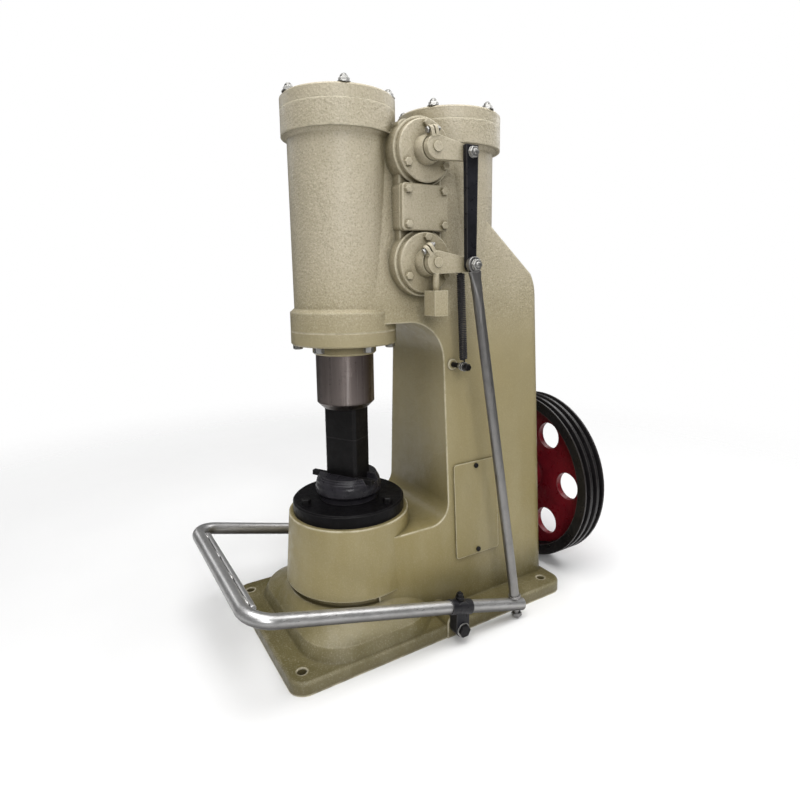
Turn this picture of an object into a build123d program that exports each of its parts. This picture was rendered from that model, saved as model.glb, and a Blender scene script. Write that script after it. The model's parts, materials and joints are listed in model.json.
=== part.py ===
from build123d import *
import os
from math import atan, cos, radians, sin, sqrt, tan

os.makedirs("parts", exist_ok=True)

# One-piece air forging hammer: the frame casting carries the anvil, the working
# cylinder over it, and the compressor cylinder that feeds it.
# Millimetres. The ram moves on X = Y = 0, the floor is Z = 0, the anvil is at the
# front (-Y), the flywheel at the back (+Y) and the valves on the right (+X).

# Base plate
base_half_width = 187
base_front = 198
base_rear_lip = 3
base_thickness = 25
base_corner_radius = 30
base_edge_radius = 5
foundation_hole_radius = 9
foundation_hole_side_inset = 33
foundation_hole_front_inset = 26
foundation_hole_back_inset = 38

# Anvil pedestal
plinth_half_width = 172
plinth_front = 148
plinth_rear = 116
plinth_corner_radius = 84
plinth_height = 48
plinth_draft = 8
flare_top = 84
flare_radius = 127
pedestal_groove_depth = 7
pedestal_groove_height = 14
pedestal_low_radius = 132
pedestal_top_radius = 122.5
pedestal_top = 236

# Column, and the web that ties it to the pedestal
column_foot_half_width = 129
column_top_half_width = 77.5
column_front = 170
column_back = 437
column_corner_radius = 26
shoulder_start = 600
shoulder_bend = (27, 109)
shoulder_rise = 139
web_top = 203
web_fillet = 42
throat_fillet = 76
throat_rise = 14

# Cylinders
flange_top = 1007
flange_thickness = 46
body_top_radius = 96.5
body_low_radius = 95
compressor_radius = 92
top_flange_radius = 107
low_flange_radius = 103.5
low_flange_thickness = 44
cylinder_length = 404
cylinder_pitch = 255.5
flange_fillet = 7
cover_thickness = 23.5
cover_edge = 3
bore_radius = 67
stud_circle_radius = 95
stud_count = 5
acorn_width = 17
acorn_skirt = 7
washer_thickness = 2

# Lower cylinder cover and gland
low_cover_thickness = 26
low_cover_bolt_circle = 91
low_cover_bolt_count = 6
low_cover_bolt_turn = 4
gland_radius = 63
gland_thickness = 20
ram_clearance = 0.5

# Ram and dies
ram_radius = 57.3
ram_bottom = 449
ram_rise = 197
piston_radius = 66
piston_height = 46
ram_chamfer = 12
die_width = 74
die_depth = 54
die_twist = 30
die_corner = 5
die_height = 76
die_gap = 0.3
die_tenon_width = 30
die_tenon_depth = 12
key_width = 10
key_height = 10
key_overhang = 14

# Anvil flange and anvil cap
anvil_flange_radius = 113.6
anvil_flange_thickness = 25
anvil_bolt_circle = 93
anvil_bolt_count = 3
cap_radius = 67
cap_top_radius = 58
cap_height = 49
cap_ring_radius = 60
cap_ring_height = 8
cap_bulge_low = 16
cap_bulge_high = 26
cap_shoulder_height = 38
cap_shoulder_inset = 3

# Valve chest and its covers
valve_line = 114
upper_valve_drop = 77
chest_face = 106
chest_half_width = 46
chest_above_valve = 55
chest_below_valve = 50
chest_corner = 14
valve_boss_radius = 62
valve_boss_depth = 8
valve_cover_radius = 56
valve_cover_thickness = 12
valve_cover_edge = 2
valve_bolt_circle = 47
valve_bolt_count = 3
valve_bolt_first_angle = 90
valve_hub_radius = 27
valve_hub_tip_radius = 23
valve_hub_length = 33
valve_shaft_radius = 9
valve_shaft_clearance = 0.3
valve_shaft_tip = 3
port_plate_width = 100
port_plate_height = 84
port_plate_gap = 2
port_plate_thickness = 10
port_plate_corner = 8
port_bolt_inset = 11

# Valve levers, link bar and pull rod
lever_face = 150
lever_thickness = 12
lever_reach = 69
lever_drop = 5
lever_hub_radius = 21
lever_hub_gap = 0.5
lever_eye_radius = 13
lever_pin_radius = 6
link_gap = 1
link_thickness = 10
link_top_width = 27
link_low_width = 21
rod_radius = 8.5
rod_eye_radius = 15
rod_eye_thickness = 10
rod_eye_weld = 2
pin_clearance = 0.3
pin_head_radius = 9
pin_head_thickness = 5
index_block_width = 29
index_block_height = 46
index_block_thickness = 34
index_stem_radius = 6
index_stem_length = 30

# Treadle
bar_radius = 9.5
treadle_side_gap = 17
treadle_taper = 11
treadle_front = 272
treadle_skew = 6
treadle_twist = 7
treadle_slope = 14.6
treadle_back = 293
treadle_pivot_line = 134
treadle_pivot_height = 28
treadle_bar_drop = 42
treadle_corner_radius = 34
treadle_end_overhang = 6
tread_bar_radius = 6
weld_gap = 0.3
clamp_radius = 14.5
clamp_length = 50
clamp_lug_radius = 15
clamp_lug_thickness = 22
pivot_radius = 7
pivot_boss_radius = 17
pivot_boss_length = 79
pivot_boss_overhang = 2
pivot_hole_depth = 49
pivot_head_radius = 11
pivot_head_thickness = 8
pivot_collar_radius = 11
pivot_side_play = 1
rod_foot_inset = 17
rod_slot_length = 22
rod_slot_width = 14
rod_tip_radius = 6
rod_tip_overhang = 3
rod_nut_width = 18
rod_nut_thickness = 8
rod_collar_radius = 11
rod_collar_height = 5
rod_play = 8

# Return spring
spring_radius = 8
spring_anchor_line = 190
spring_anchor_drop = 201
spring_plane = 140.5
spring_pin_reach = 67
spring_pin_radius = 4
spring_bolt_radius = 5
spring_hook_gap = 0.3
spring_boss_radius = 11
spring_boss_face = 105

# Access panel on the side of the column
panel_line = 241
panel_width = 113
panel_bottom = 119
panel_height = 201
panel_thickness = 4
panel_corner_radius = 6
panel_screw_inset = 9

# Flywheel and crankshaft end
wheel_radius = 202.5
wheel_height = 210
wheel_gap = 49
wheel_width = 62
rim_thickness = 24
web_thickness = 14
wheel_hub_radius = 44
wheel_hub_length = 70
wheel_hole_radius = 32
wheel_hole_circle = 125.6
wheel_hole_count = 6
groove_count = 3
groove_depth = 12
groove_top_width = 14
groove_floor_width = 7
crank_radius = 20
crank_clearance = 0.4
crank_end_gap = 0.5
crank_tip_length = 8
bearing_boss_radius = 78
bearing_boss_length = 14
bearing_housing_radius = 66
bearing_housing_thickness = 16
bearing_housing_edge = 3
bearing_bolt_circle = 54
bearing_bolt_count = 6
shaft_nut_width = 46
shaft_nut_thickness = 18

# Hexagon heads
cover_bolt_width = 17
cover_bolt_head = 11
valve_bolt_width = 13
valve_bolt_head = 8
small_screw_radius = 5
small_screw_head = 4
small_screw_edge = 1
head_bevel = 0.14

base_back = column_back + base_rear_lip
foundation_hole_side = base_half_width - foundation_hole_side_inset
foundation_hole_front = base_front - foundation_hole_front_inset
foundation_hole_back = base_back - foundation_hole_back_inset
wheel_front = column_back + wheel_gap
cover_top = flange_top + cover_thickness
low_flange_bottom = flange_top - cylinder_length
low_flange_top = low_flange_bottom + low_flange_thickness
throat_top = low_flange_bottom + throat_rise
ram_top = low_flange_bottom + ram_rise
flange_bottom = flange_top - flange_thickness
low_cover_bottom = low_flange_bottom - low_cover_thickness
anvil_flange_top = pedestal_top + anvil_flange_thickness
cap_top = anvil_flange_top + cap_height
die_parting = cap_top + die_height
valve_face = chest_face + valve_boss_depth
upper_valve_height = flange_top - upper_valve_drop
lower_valve_height = upper_valve_height - port_plate_height - 2 * (valve_cover_radius + port_plate_gap)
chest_top = upper_valve_height + chest_above_valve
chest_bottom = lower_valve_height - chest_below_valve
link_face = lever_face + lever_thickness + link_gap
rod_eye_face = link_face + link_thickness + link_gap
pin_head_face = rod_eye_face + rod_eye_thickness + link_gap
upper_link_pin = (valve_line + lever_reach, upper_valve_height - lever_drop)
lower_link_pin = (valve_line + lever_reach, lower_valve_height - lever_drop)
treadle_half_width = base_half_width + treadle_side_gap
treadle_front_half_width = treadle_half_width - treadle_taper
pivot_boss_end = base_half_width + pivot_boss_overhang
pivot_boss_start = pivot_boss_end - pivot_boss_length
pivot_hole_start = pivot_boss_end - pivot_hole_depth
spring_anchor_height = lower_valve_height - spring_anchor_drop
base_centre = (base_back - base_front) / 2
plinth_centre = (plinth_rear - plinth_front) / 2
column_draft = (column_foot_half_width - column_top_half_width) / (flange_bottom - base_thickness)


def side_plane(x):
    """Plane that faces +X: its own x is world Y and its own y is world Z."""
    return Plane(origin=(x, 0, 0), x_dir=(0, 1, 0), z_dir=(1, 0, 0))


def side_plate(outline, x_low, x_high):
    return extrude(side_plane(x_low) * outline, x_high - x_low)


def side_disc(y, z, radius, x_low, x_high):
    return extrude(side_plane(x_low) * Pos(y, z) * Circle(radius), x_high - x_low)


def ring_points(count, radius, first_angle):
    angles = [radians(first_angle + i * 360 / count) for i in range(count)]
    return [(radius * cos(a), radius * sin(a)) for a in angles]


def hexagon(width):
    return RegularPolygon(width / sqrt(3), 6)


def hexagon_head(width, height):
    """Head of a hexagon bolt on the plane Z = 0, with its rim broken."""
    head = extrude(hexagon(width), height)
    return chamfer(head.edges().group_by(Axis.Z)[-1], height * head_bevel)


def acorn_nut(width):
    """Domed nut on its washer, standing on the plane Z = 0."""
    washer = extrude(Circle(width * 0.62), washer_thickness)
    skirt = Pos(0, 0, washer_thickness) * extrude(hexagon(width), acorn_skirt)
    base = width * 0.45
    dome = revolved(
        [
            (0, 0),
            (base, 0),
            (base * 0.88, base * 0.48),
            (base * 0.5, base * 0.86),
            (base * 0.2, base),
            (0, base),
        ]
    )
    return washer + skirt + Pos(0, 0, washer_thickness + acorn_skirt) * dome


def revolved(points):
    return revolve(Plane.XZ * make_face(Polyline(*points, close=True)), Axis.Z)


def base_plate():
    length = base_front + base_back
    plate = Pos(0, base_centre, 0) * extrude(
        RectangleRounded(2 * base_half_width, length, base_corner_radius), base_thickness
    )
    return fillet(plate.edges().group_by(Axis.Z)[-1], base_edge_radius)


def foundation_holes():
    hole = extrude(Circle(foundation_hole_radius), base_thickness)
    return [
        Pos(x, y, 0) * hole
        for x in (-foundation_hole_side, foundation_hole_side)
        for y in (-foundation_hole_front, foundation_hole_back)
    ]


def plinth():
    """Rounded step on the base plate, flaring up to the pedestal's waist."""
    width = 2 * plinth_half_width
    length = plinth_front + plinth_rear
    foot = RectangleRounded(width + 2 * plinth_draft, length + 2 * plinth_draft, plinth_corner_radius)
    shoulder = RectangleRounded(width, length, plinth_corner_radius)
    step = loft(
        [
            Pos(0, plinth_centre, base_thickness) * foot,
            Pos(0, plinth_centre, plinth_height) * shoulder,
        ]
    )
    flare = loft(
        [
            Pos(0, plinth_centre, plinth_height) * shoulder,
            Pos(0, 0, flare_top) * Circle(flare_radius),
        ]
    )
    return step + flare


def pedestal():
    groove_top = flare_top + pedestal_groove_height
    groove_floor = flare_radius - pedestal_groove_depth
    return revolved(
        [
            (0, base_thickness),
            (groove_floor, base_thickness),
            (groove_floor, flare_top + pedestal_groove_height / 2),
            (pedestal_low_radius, groove_top),
            (pedestal_top_radius, pedestal_top),
            (0, pedestal_top),
        ]
    )


def side_at(z):
    """Half width of the drafted body at height z."""
    return column_foot_half_width - column_draft * (z - base_thickness)


def column_section(z):
    section = Pos(0, column_back / 2, z) * Rectangle(2 * side_at(z), column_back)
    return fillet(section.vertices().group_by(Axis.Y)[-1], column_corner_radius)


def corner_arc(y, z, radius, side):
    """Quarter arc with its centre at (y - radius, z + side * radius), bulging towards (y, z)."""
    near = radius * (1 - sin(radians(45)))
    return ThreePointArc((y - radius, z), (y - near, z + side * near), (y, z + side * radius))


def body_outline():
    """Side view of the foot, the column, its shoulder, the neck and the throat between them."""
    bend_back, bend_rise = shoulder_bend
    bend = (column_back - bend_back, shoulder_start + bend_rise)
    bulge = (column_back - bend_back / 4, shoulder_start + bend_rise * 0.55)
    return make_face(
        Polyline(
            (0, web_top),
            (0, base_thickness),
            (column_back, base_thickness),
            (column_back, shoulder_start),
        )
        + ThreePointArc((column_back, shoulder_start), bulge, bend)
        + Polyline(
            bend,
            (cylinder_pitch, bend[1] + shoulder_rise),
            (cylinder_pitch, flange_bottom),
            (0, flange_bottom),
            (0, throat_top),
            (column_front - throat_fillet, throat_top),
        )
        + corner_arc(column_front, throat_top, throat_fillet, -1)
        + Line((column_front, throat_top - throat_fillet), (column_front, web_top + web_fillet))
        + corner_arc(column_front, web_top, web_fillet, 1)
        + Line((column_front - web_fillet, web_top), (0, web_top))
    )


def column():
    """Column, web and neck in one: their side view, narrowed by the casting's draft."""
    drafted = loft([column_section(base_thickness), column_section(flange_bottom)])
    return side_plate(body_outline(), -column_foot_half_width, column_foot_half_width) & drafted


def cylinder_body(low_z, low_radius, top_radius):
    return revolved(
        [
            (0, low_z),
            (low_radius, low_z),
            (top_radius, flange_bottom - flange_fillet),
            (top_radius + flange_fillet, flange_bottom),
            (top_flange_radius, flange_bottom),
            (top_flange_radius, flange_top),
            (0, flange_top),
        ]
    )


def working_cylinder():
    low_flange = revolved(
        [
            (0, low_flange_bottom),
            (low_flange_radius, low_flange_bottom),
            (low_flange_radius, low_flange_top - flange_fillet),
            (body_low_radius, low_flange_top),
            (0, low_flange_top),
        ]
    )
    return cylinder_body(low_flange_top, body_low_radius, body_top_radius) + low_flange


def compressor_cylinder():
    return Pos(0, cylinder_pitch, 0) * cylinder_body(throat_top, compressor_radius, compressor_radius)


def plate_place():
    """Centre of the port plate, half way between the two valves, as (y, z)."""
    return Pos(valve_line, (upper_valve_height + lower_valve_height) / 2)


def valve_chest():
    middle = (chest_bottom + chest_top) / 2
    outline = RectangleRounded(2 * chest_half_width, chest_top - chest_bottom, chest_corner)
    chest = extrude(side_plane(0) * Pos(valve_line, middle) * outline, chest_face)
    for height in (upper_valve_height, lower_valve_height):
        chest += side_disc(valve_line, height, valve_boss_radius, 0, valve_face)
    plate_boss = RectangleRounded(port_plate_width, port_plate_height, port_plate_corner)
    return chest + extrude(side_plane(0) * plate_place() * plate_boss, valve_face)


def bearing_boss():
    plane = Plane(origin=(0, column_back, wheel_height), x_dir=(1, 0, 0), z_dir=(0, 1, 0))
    return extrude(plane * Circle(bearing_boss_radius), bearing_boss_length)


def pivot_boss(side):
    """Cast boss that holds the treadle's pivot stud, standing on the base plate."""
    width = 2 * pivot_boss_radius
    round_end = Pos(treadle_pivot_line, treadle_pivot_height) * Circle(pivot_boss_radius)
    foot = Pos(treadle_pivot_line, treadle_pivot_height / 2) * Rectangle(width, treadle_pivot_height)
    block = extrude(side_plane(pivot_boss_start) * (round_end + foot), pivot_boss_end - pivot_boss_start)
    return block if side > 0 else mirror(block, Plane.YZ)


def spring_boss():
    """Small pad on the drafted side under the spring's anchor bolt."""
    return side_disc(spring_anchor_line, spring_anchor_height, spring_boss_radius, 0, spring_boss_face)


def frame_casting():
    casting = base_plate() + plinth() + pedestal() + column()
    casting += working_cylinder()
    casting += compressor_cylinder()
    casting += valve_chest()
    casting += bearing_boss()
    casting += spring_boss()
    casting += pivot_boss(1) + pivot_boss(-1)
    for hole in foundation_holes():
        casting -= hole
    casting -= Pos(0, 0, low_flange_bottom) * extrude(Circle(bore_radius), flange_top - low_flange_bottom)
    stud_hole = side_disc(
        treadle_pivot_line, treadle_pivot_height, pivot_radius, pivot_hole_start, pivot_boss_end
    )
    return casting - stud_hole - mirror(stud_hole, Plane.YZ)


def top_cover():
    disc = Pos(0, 0, flange_top) * extrude(Circle(top_flange_radius), cover_thickness)
    return chamfer(disc.edges().group_by(Axis.Z)[-1], cover_edge)


def acorn_ring(first_angle):
    nut = acorn_nut(acorn_width)
    spots = ring_points(stud_count, stud_circle_radius, first_angle)
    return Compound([Pos(x, y, cover_top) * nut for x, y in spots])


def lower_cover():
    disc = Pos(0, 0, low_cover_bottom) * extrude(Circle(low_flange_radius), low_cover_thickness)
    disc = chamfer(disc.edges().group_by(Axis.Z)[0], cover_edge)
    bore = extrude(Circle(ram_radius + ram_clearance), low_cover_thickness)
    return disc - Pos(0, 0, low_cover_bottom) * bore


def lower_cover_bolts():
    head = Rot(180, 0, 0) * hexagon_head(cover_bolt_width, cover_bolt_head)
    spots = ring_points(low_cover_bolt_count, low_cover_bolt_circle, low_cover_bolt_turn)
    return Compound([Pos(x, y, low_cover_bottom) * head for x, y in spots])


def gland():
    bottom = low_cover_bottom - gland_thickness
    ring = Pos(0, 0, bottom) * extrude(Circle(gland_radius), gland_thickness)
    ring = chamfer(ring.edges().group_by(Axis.Z)[0], cover_edge)
    return ring - Pos(0, 0, bottom) * extrude(Circle(ram_radius + ram_clearance), gland_thickness)


def ram_rod():
    shoulder = ram_radius - ram_chamfer
    return revolved(
        [
            (0, ram_bottom),
            (shoulder, ram_bottom),
            (ram_radius, ram_bottom + ram_chamfer),
            (ram_radius, ram_top - piston_height),
            (piston_radius, ram_top - piston_height),
            (piston_radius, ram_top),
            (0, ram_top),
        ]
    )


def die_outline():
    return chamfer(Rectangle(die_width, die_depth).vertices(), die_corner)


def upper_die():
    low = die_parting + die_gap
    block = Pos(0, 0, low) * extrude(die_outline(), ram_bottom - low)
    return Rot(0, 0, die_twist) * block


def lower_die():
    block = Pos(0, 0, cap_top) * extrude(die_outline(), die_height)
    tenon = extrude(Rectangle(die_width, die_tenon_width), die_tenon_depth)
    tenon = Pos(0, 0, cap_top - die_tenon_depth) * tenon
    return Rot(0, 0, die_twist) * (block + tenon)


def lower_die_key():
    """Taper key driven beside the tenon, its two ends standing out of the cap."""
    length = 2 * (cap_top_radius + key_overhang)
    place = Pos(0, -(die_tenon_width + key_width) / 2, cap_top - key_height / 2)
    return Rot(0, 0, die_twist) * place * Box(length, key_width, key_height)


def anvil_cap():
    body = revolved(
        [
            (0, anvil_flange_top),
            (cap_ring_radius, anvil_flange_top),
            (cap_ring_radius, anvil_flange_top + cap_ring_height),
            (cap_radius, anvil_flange_top + cap_bulge_low),
            (cap_radius, anvil_flange_top + cap_bulge_high),
            (cap_radius - cap_shoulder_inset, anvil_flange_top + cap_shoulder_height),
            (cap_top_radius, cap_top),
            (0, cap_top),
        ]
    )
    slot_width = die_tenon_width + key_width
    slot_centre = -key_width / 2
    place = Pos(0, slot_centre, cap_top - die_tenon_depth / 2)
    slot = Rot(0, 0, die_twist) * place * Box(4 * cap_radius, slot_width, die_tenon_depth)
    return body - slot


def anvil_flange():
    disc = Pos(0, 0, pedestal_top) * extrude(Circle(anvil_flange_radius), anvil_flange_thickness)
    return chamfer(disc.edges().group_by(Axis.Z)[-1], cover_edge)


def anvil_flange_bolts():
    head = hexagon_head(cover_bolt_width, cover_bolt_head)
    spots = ring_points(anvil_bolt_count, anvil_bolt_circle, -90)
    return Compound([Pos(x, y, anvil_flange_top) * head for x, y in spots])


def valve_cover(height):
    """Round cover with a tapered hub and a bore for the valve shaft."""
    place = Pos(valve_line, height)
    plate = extrude(side_plane(valve_face) * place * Circle(valve_cover_radius), valve_cover_thickness)
    plate = chamfer(plate.edges().group_by(Axis.X)[-1], valve_cover_edge)
    hub_foot = side_plane(valve_face + valve_cover_thickness) * place * Circle(valve_hub_radius)
    hub_tip = side_plane(valve_face + valve_hub_length) * place * Circle(valve_hub_tip_radius)
    opening = valve_shaft_radius + valve_shaft_clearance
    bore = side_disc(valve_line, height, opening, valve_face, valve_face + valve_hub_length)
    return plate + loft([hub_foot, hub_tip]) - bore


def valve_bolts(height):
    head = hexagon_head(valve_bolt_width, valve_bolt_head)
    face = side_plane(valve_face + valve_cover_thickness).location * Pos(valve_line, height)
    spots = ring_points(valve_bolt_count, valve_bolt_circle, valve_bolt_first_angle)
    return Compound([face * Pos(y, z) * head for y, z in spots])


def port_plate():
    outline = RectangleRounded(port_plate_width, port_plate_height, port_plate_corner)
    plate = extrude(side_plane(valve_face) * plate_place() * outline, port_plate_thickness)
    return chamfer(plate.edges().group_by(Axis.X)[-1], valve_cover_edge)


def port_plate_bolts():
    head = hexagon_head(valve_bolt_width, valve_bolt_head)
    face = side_plane(valve_face + port_plate_thickness)
    reach_y = port_plate_width / 2 - port_bolt_inset
    reach_z = port_plate_height / 2 - port_bolt_inset
    corners = [(a * reach_y, b * reach_z) for a in (-1, 1) for b in (-1, 1)]
    return Compound([face.location * plate_place() * Pos(y, z) * head for y, z in corners])


def valve_shaft(height):
    tip = lever_face + lever_thickness + valve_shaft_tip
    return side_disc(valve_line, height, valve_shaft_radius, valve_face + valve_shaft_clearance, tip)


def lever_arm(height):
    """Tapered arm from the valve shaft's clamp hub to the link pin's eye."""
    pin_y, pin_z = valve_line + lever_reach, height - lever_drop
    arm = make_hull(
        (Pos(valve_line, height) * Circle(lever_hub_radius)).edges()
        + (Pos(pin_y, pin_z) * Circle(lever_eye_radius)).edges()
    )
    plate = side_plate(arm, lever_face, lever_face + lever_thickness)
    hub_back = valve_face + valve_hub_length + lever_hub_gap
    hub = side_disc(valve_line, height, lever_hub_radius, hub_back, lever_face + lever_thickness)
    shaft_hole = side_disc(valve_line, height, valve_shaft_radius, hub_back, lever_face + lever_thickness)
    return plate + hub - shaft_hole


lower_lever_plate = lever_arm(lower_valve_height)
upper_lever_plate = lever_arm(upper_valve_height)


def lever_pin(height, end):
    pin_y, pin_z = valve_line + lever_reach, height - lever_drop
    pin = side_disc(pin_y, pin_z, lever_pin_radius, lever_face + lever_thickness, end)
    head = side_disc(pin_y, pin_z, pin_head_radius, end, end + pin_head_thickness)
    return pin + head


def index_block():
    """Square block on a short stem under the lower valve's lever hub."""
    stem_top = lower_valve_height - lever_hub_radius
    x_middle = lever_face + lever_thickness / 2
    stem = Pos(x_middle, valve_line, stem_top - index_stem_length) * extrude(
        Circle(index_stem_radius), index_stem_length + lever_hub_radius / 2
    )
    block = Pos(x_middle, valve_line, stem_top - index_stem_length - index_block_height / 2) * Box(
        index_block_thickness, index_block_width, index_block_height
    )
    return stem + block - lower_lever_plate


def link_bar():
    """Flat bar between the two lever pins, wider at its square top end."""
    (y, low), (_, high) = lower_link_pin, upper_link_pin
    top = high + link_top_width / 2
    outline = make_hull(
        (Pos(y, low) * Circle(link_low_width / 2)).edges()
        + Polyline((y - link_top_width / 2, top), (y + link_top_width / 2, top)).edges()
    )
    bar = side_plate(outline, link_face, link_face + link_thickness)
    for z in (low, high):
        bar -= side_disc(y, z, lever_pin_radius + pin_clearance, link_face, link_face + link_thickness)
    return bar


# Treadle geometry. Each leg is a straight line from its front corner through its clamp.
rod_foot_line = treadle_back - rod_foot_inset
front_rise = (treadle_pivot_line + treadle_front) * tan(radians(treadle_slope))


def clamp_centre(side):
    return Vector(side * treadle_half_width, treadle_pivot_line, treadle_pivot_height + treadle_bar_drop)


def front_corner(side):
    """Corner of the bent bar; its front run stands a little higher and further back on the right."""
    across = side * treadle_front_half_width
    height = clamp_centre(side).Z + front_rise + side * treadle_twist
    return Vector(across, side * treadle_skew - treadle_front, height)


def leg_direction(side):
    """From the front corner towards the back, along the leg."""
    return (clamp_centre(side) - front_corner(side)).normalized()


def leg_point(side, y):
    """Where the leg's centre line crosses the distance y behind the hammer line."""
    along = leg_direction(side)
    return clamp_centre(side) + along * ((y - treadle_pivot_line) / along.Y)


def treadle_path():
    near_end = leg_point(1, treadle_back)
    far_end = leg_point(-1, treadle_pivot_line + clamp_length / 2 + treadle_end_overhang)
    corners = (front_corner(1), front_corner(-1))
    return FilletPolyline(near_end, *corners, far_end, radius=treadle_corner_radius)


def treadle_hoop():
    path = treadle_path()
    start = Plane(origin=path @ 0, z_dir=path % 0)
    bar = sweep(start * Circle(bar_radius), path=path)
    slot = extrude(SlotOverall(rod_slot_length, rod_slot_width, rotation=90), 3 * bar_radius, both=True)
    return bar - Location(leg_point(1, rod_foot_line)) * slot


def tread_bar():
    """Second bar welded along the inside of the front bar."""
    right, left = front_corner(1), front_corner(-1)
    inward = (leg_direction(1) + leg_direction(-1)).normalized()
    middle = (right + left) * 0.5 + inward * (bar_radius + tread_bar_radius + weld_gap)
    length = 2 * (treadle_front_half_width - treadle_corner_radius)
    return Plane(origin=middle, z_dir=right - left) * Cylinder(tread_bar_radius, length)


def treadle_clamp(side):
    """Sleeve round the bar, with a lug down to the pivot stud."""
    centre = clamp_centre(side)
    along = Plane(origin=centre, z_dir=leg_direction(side))
    lug_face = side * treadle_half_width - clamp_lug_thickness / 2
    low_end = Pos(treadle_pivot_line, treadle_pivot_height) * Circle(clamp_lug_radius)
    high_end = Pos(treadle_pivot_line, centre.Z) * Circle(clamp_lug_radius)
    lug_outline = make_hull(low_end.edges() + high_end.edges())
    lug = side_plate(lug_outline, lug_face, lug_face + clamp_lug_thickness)
    clamp = along * Cylinder(clamp_radius, clamp_length) + lug
    clamp -= along * Cylinder(bar_radius, 2 * clamp_length)
    return clamp - side_disc(
        treadle_pivot_line,
        treadle_pivot_height,
        pivot_radius + pin_clearance,
        lug_face,
        lug_face + clamp_lug_thickness,
    )


def pivot_stud(side):
    spot = (treadle_pivot_line, treadle_pivot_height)
    lug_outer = treadle_half_width + clamp_lug_thickness / 2 + pivot_side_play
    lug_inner = treadle_half_width - clamp_lug_thickness / 2 - pivot_side_play
    shank = side_disc(*spot, pivot_radius, pivot_hole_start, lug_outer)
    collar = side_disc(*spot, pivot_collar_radius, pivot_boss_end, lug_inner)
    head = hexagon_head(2 * pivot_head_radius, pivot_head_thickness)
    stud = shank + collar + side_plane(lug_outer).location * Pos(*spot) * head
    return stud if side > 0 else mirror(stud, Plane.YZ)


def pull_rod():
    """Rod from the lower lever's pin down through the slot in the treadle bar."""
    top_y, top_z = lower_link_pin
    top = Vector(rod_eye_face + rod_eye_thickness / 2, top_y, top_z)
    foot = leg_point(1, rod_foot_line)
    length = (top - foot).length
    axis = Plane(origin=foot, z_dir=top - foot)
    nut_face = bar_radius + rod_play
    shank_end = length - rod_eye_radius + rod_eye_weld
    shank = extrude(axis.offset(nut_face) * Circle(rod_radius), shank_end - nut_face)
    collar = extrude(axis.offset(nut_face) * Circle(rod_collar_radius), rod_collar_height)
    tip_low = -nut_face - rod_nut_thickness - rod_tip_overhang
    tip = extrude(axis.offset(tip_low) * Circle(rod_tip_radius), nut_face - tip_low)
    nut = hexagon_head(rod_nut_width, rod_nut_thickness)
    nut = axis.offset(-nut_face - rod_nut_thickness).location * nut
    eye = side_disc(top_y, top_z, rod_eye_radius, rod_eye_face, rod_eye_face + rod_eye_thickness)
    hole_radius = lever_pin_radius + pin_clearance
    hole = side_disc(top_y, top_z, hole_radius, rod_eye_face - rod_radius, pin_head_face + rod_radius)
    return shank + collar + tip + nut + eye - hole


def panel_plane():
    """The column's right face, leaning in with its draft; its own y runs up the slope."""
    lean = atan(column_draft)
    foot = Vector(side_at(0), 0, 0)
    return Plane(origin=foot, x_dir=(0, 1, 0), z_dir=(cos(lean), 0, sin(lean)))


def access_panel():
    centre = Pos(panel_line, panel_bottom + panel_height / 2)
    outline = RectangleRounded(panel_width, panel_height, panel_corner_radius)
    return extrude(panel_plane() * centre * outline, panel_thickness)


def access_panel_screws():
    face = panel_plane().offset(panel_thickness)
    screw = extrude(Circle(small_screw_radius), small_screw_head)
    screw = chamfer(screw.edges().group_by(Axis.Z)[-1], small_screw_edge)
    heights = (panel_bottom + panel_screw_inset, panel_bottom + panel_height - panel_screw_inset)
    return Compound([face.location * Pos(panel_line, height) * screw for height in heights])


def flywheel():
    """Belt wheel: grooved rim, thin web with round holes, hub on the crankshaft."""
    pitch = wheel_width / groove_count
    rim = [(wheel_radius, 0)]
    for i in range(groove_count):
        middle = (i + 0.5) * pitch
        rim += [
            (wheel_radius, middle - groove_top_width / 2),
            (wheel_radius - groove_depth, middle - groove_floor_width / 2),
            (wheel_radius - groove_depth, middle + groove_floor_width / 2),
            (wheel_radius, middle + groove_top_width / 2),
        ]
    rim.append((wheel_radius, wheel_width))
    inner = wheel_radius - rim_thickness
    web_low = (wheel_width - web_thickness) / 2
    web_high = web_low + web_thickness
    hub_low = (wheel_width - wheel_hub_length) / 2
    hub_high = hub_low + wheel_hub_length
    bore = crank_radius
    hub = wheel_hub_radius
    front_side = [(bore, hub_low), (hub, hub_low), (hub, web_low), (inner, web_low), (inner, 0)]
    back_side = [(inner, web_high), (hub, web_high), (hub, hub_high), (bore, hub_high)]
    outline = front_side + rim + [(inner, wheel_width)] + back_side
    wheel = revolved(outline)
    for x, y in ring_points(wheel_hole_count, wheel_hole_circle, 0):
        wheel -= Pos(x, y, web_low) * extrude(Circle(wheel_hole_radius), web_thickness)
    return wheel_place() * wheel


def wheel_place():
    """Turns a shape on the Z axis onto the crankshaft's line, with its z along +Y."""
    return Plane(origin=(0, wheel_front, wheel_height), x_dir=(1, 0, 0), z_dir=(0, 1, 0)).location


def crankshaft_end():
    hub_low = (wheel_width - wheel_hub_length) / 2
    start = column_back + bearing_boss_length + crank_end_gap - wheel_front
    tip = hub_low + wheel_hub_length + shaft_nut_thickness + crank_tip_length
    shaft = Pos(0, 0, start) * extrude(Circle(crank_radius), tip - start)
    nut = Pos(0, 0, hub_low + wheel_hub_length) * hexagon_head(shaft_nut_width, shaft_nut_thickness)
    return wheel_place() * (shaft + nut)


def bearing_housing():
    start = column_back + bearing_boss_length - wheel_front
    disc = extrude(Circle(bearing_housing_radius), bearing_housing_thickness)
    disc = chamfer(disc.edges().group_by(Axis.Z)[-1], bearing_housing_edge)
    disc -= extrude(Circle(crank_radius + crank_clearance), bearing_housing_thickness)
    return wheel_place() * Pos(0, 0, start) * disc


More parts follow.
